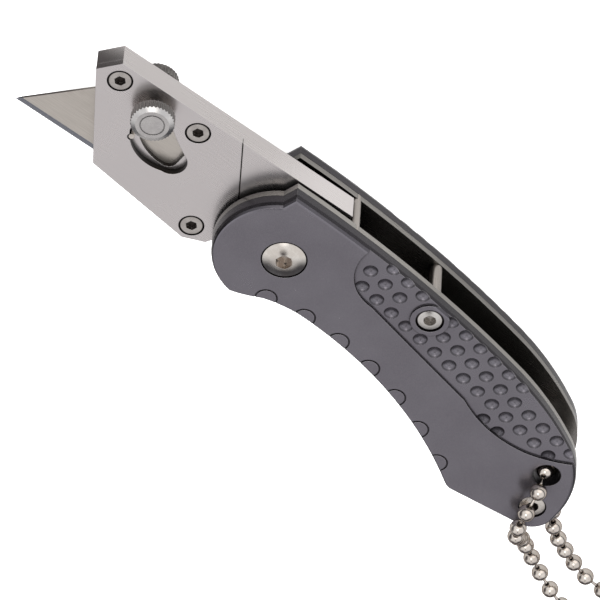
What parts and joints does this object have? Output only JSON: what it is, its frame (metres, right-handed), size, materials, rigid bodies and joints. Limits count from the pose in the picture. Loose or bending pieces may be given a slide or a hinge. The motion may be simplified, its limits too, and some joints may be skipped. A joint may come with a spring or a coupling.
{
  "type": "folding utility knife",
  "caption": "Folding utility knife, opened: steel blade holder with a quick-release knob, dimpled two-sided metal handle, lanyard hole and ball chain.",
  "frame": {"origin": "middle of the open knife's footprint, on the plane that its rear scale rests on; the chain is not counted", "axes": "+X along the open knife from the blade to the tail, +Y to the spine side, +Z out of the front face"},
  "size_m": [0.2204, 0.0715, 0.0248],
  "materials": {
    "scale_metal": "satin gunmetal coat over a zinc casting",
    "liner_steel": "brushed stainless sheet",
    "bright_nickel": "polished nickel plate",
    "bronze": "plain bronze washer",
    "holder_steel": "fine brushed stainless",
    "screw_steel": "turned steel screws",
    "blade_steel": "ground carbon steel",
    "knob_steel": "knurled and turned steel",
    "chain_nickel": "nickel-plated brass chain"
  },
  "bodies": {
    "handle": {"front_scale": "scale_metal", "rear_scale": "scale_metal", "front_liner": "liner_steel", "rear_liner": "liner_steel", "pivot_barrel": "bright_nickel", "pivot_screw": "bright_nickel", "rear_pivot_washer": "bronze", "front_pivot_washer": "bronze", "stop_pin": "liner_steel", "spine_spacer": "liner_steel", "tail_post": "liner_steel", "front_tail_screw": "bright_nickel", "rear_tail_screw": "bright_nickel", "front_grip_screw": "bright_nickel", "rear_grip_screw": "bright_nickel", "ball_chain": "chain_nickel", "chain_connector": "chain_nickel"},
    "blade_holder": {"holder_body": "holder_steel", "holder_cover_plate": "holder_steel", "holder_screws": "screw_steel", "window_pin": "screw_steel", "utility_blade": "blade_steel", "lever_spring": "blade_steel"},
    "release_lever": {"release_lever": "blade_steel", "front_knob": "knob_steel", "rear_knob": "knob_steel", "front_knob_stud": "knob_steel", "rear_knob_stud": "knob_steel"},
    "lock_bar": {"lock_bar": "liner_steel", "detent_ball": "bright_nickel"}
  },
  "joints": [
    {"name": "holder_fold", "type": "hinge", "parent": "handle", "child": "blade_holder", "pos_m": [-0.0129, 0.0058, 0.009], "axis": [0, 0, 1], "range_deg": [0, 152]},
    {"name": "release_swing", "type": "hinge", "parent": "blade_holder", "child": "release_lever", "pos_m": [-0.0453, 0.0165, 0.009], "axis": [0, 0, 1], "range_deg": [0, 46], "stiffness_Nm_per_rad": 0.02, "springref_deg": -11.46},
    {"name": "lock_bar_flex", "type": "hinge", "parent": "handle", "child": "lock_bar", "pos_m": [0.0351, -0.0032, 0.00405], "axis": [0, 1, 0], "range_deg": [-1.3, 0], "stiffness_Nm_per_rad": 2, "springref_deg": 2.86}
  ]
}
